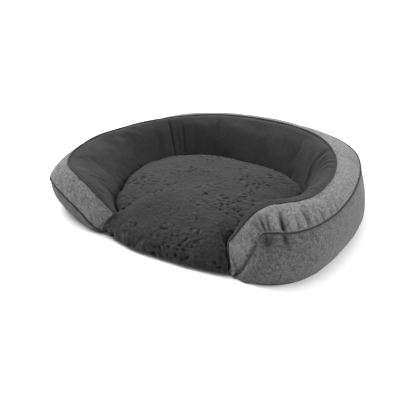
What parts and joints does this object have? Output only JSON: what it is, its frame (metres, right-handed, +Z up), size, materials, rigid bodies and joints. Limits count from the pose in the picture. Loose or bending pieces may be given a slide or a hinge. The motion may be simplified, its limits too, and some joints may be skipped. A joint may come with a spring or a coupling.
{
  "type": "pet cushion bed",
  "caption": "Step-in oval pet bed with a C-shaped stuffed wall, piped seams and a loose zipped plush cushion.",
  "frame": {"origin": "on the floor, at the middle of the bed's box", "axes": "+X to the right of someone facing the step-in front, +Y to the back, +Z up"},
  "size_m": [0.8017, 0.6294, 0.1646],
  "materials": {
    "plush": "short curly plush, charcoal",
    "suede": "brushed suede cloth, charcoal",
    "light_tweed": "heather tweed, light grey",
    "grey_tweed": "heather tweed, mid grey",
    "piping": "twill over cord, charcoal",
    "lining": "plain dark grey lining with non-slip dots below",
    "label": "blank woven tape",
    "fibre": "white polyester fibre",
    "zip_teeth": "moulded teeth, dark grey",
    "zip_metal": "enamelled, dark grey"
  },
  "bodies": {
    "bed": {"bolster_inner_panel": "suede", "bolster_top_panel": "light_tweed", "bolster_outer_panel": "grey_tweed", "ridge_piping": "piping", "rim_piping": "piping", "bolster_fill_left": "fibre", "bolster_fill_back": "fibre", "bolster_fill_right": "fibre", "baffle_left": "lining", "baffle_right": "lining", "arm_end_left": "suede", "arm_end_right": "light_tweed", "base_sheet": "lining", "care_label": "label"},
    "cushion": {"cushion_top_cover": "plush", "cushion_liner": "lining", "cushion_pad": "fibre", "zip_tape_lower": "piping", "zip_tape_upper": "piping", "zip_chain": "zip_teeth", "zip_stop_left": "zip_metal", "zip_stop_right": "zip_metal"},
    "zip_slider": {"zip_slider": "zip_metal"},
    "zip_pull": {"zip_pull": "zip_metal"}
  },
  "joints": [
    {"name": "cushion_lift", "type": "slide", "parent": "bed", "child": "cushion", "axis": [0, 0, 1], "range_m": [0, 0.2]},
    {"name": "zip_slide", "type": "slide", "parent": "cushion", "child": "zip_slider", "axis": [1, 0, 0], "range_m": [0, 0.16]},
    {"name": "zip_pull_flip", "type": "hinge", "parent": "zip_slider", "child": "zip_pull", "pos_m": [-0.08, 0.1317, 0.01805], "axis": [0, 0, -1], "range_deg": [0, 180]}
  ]
}
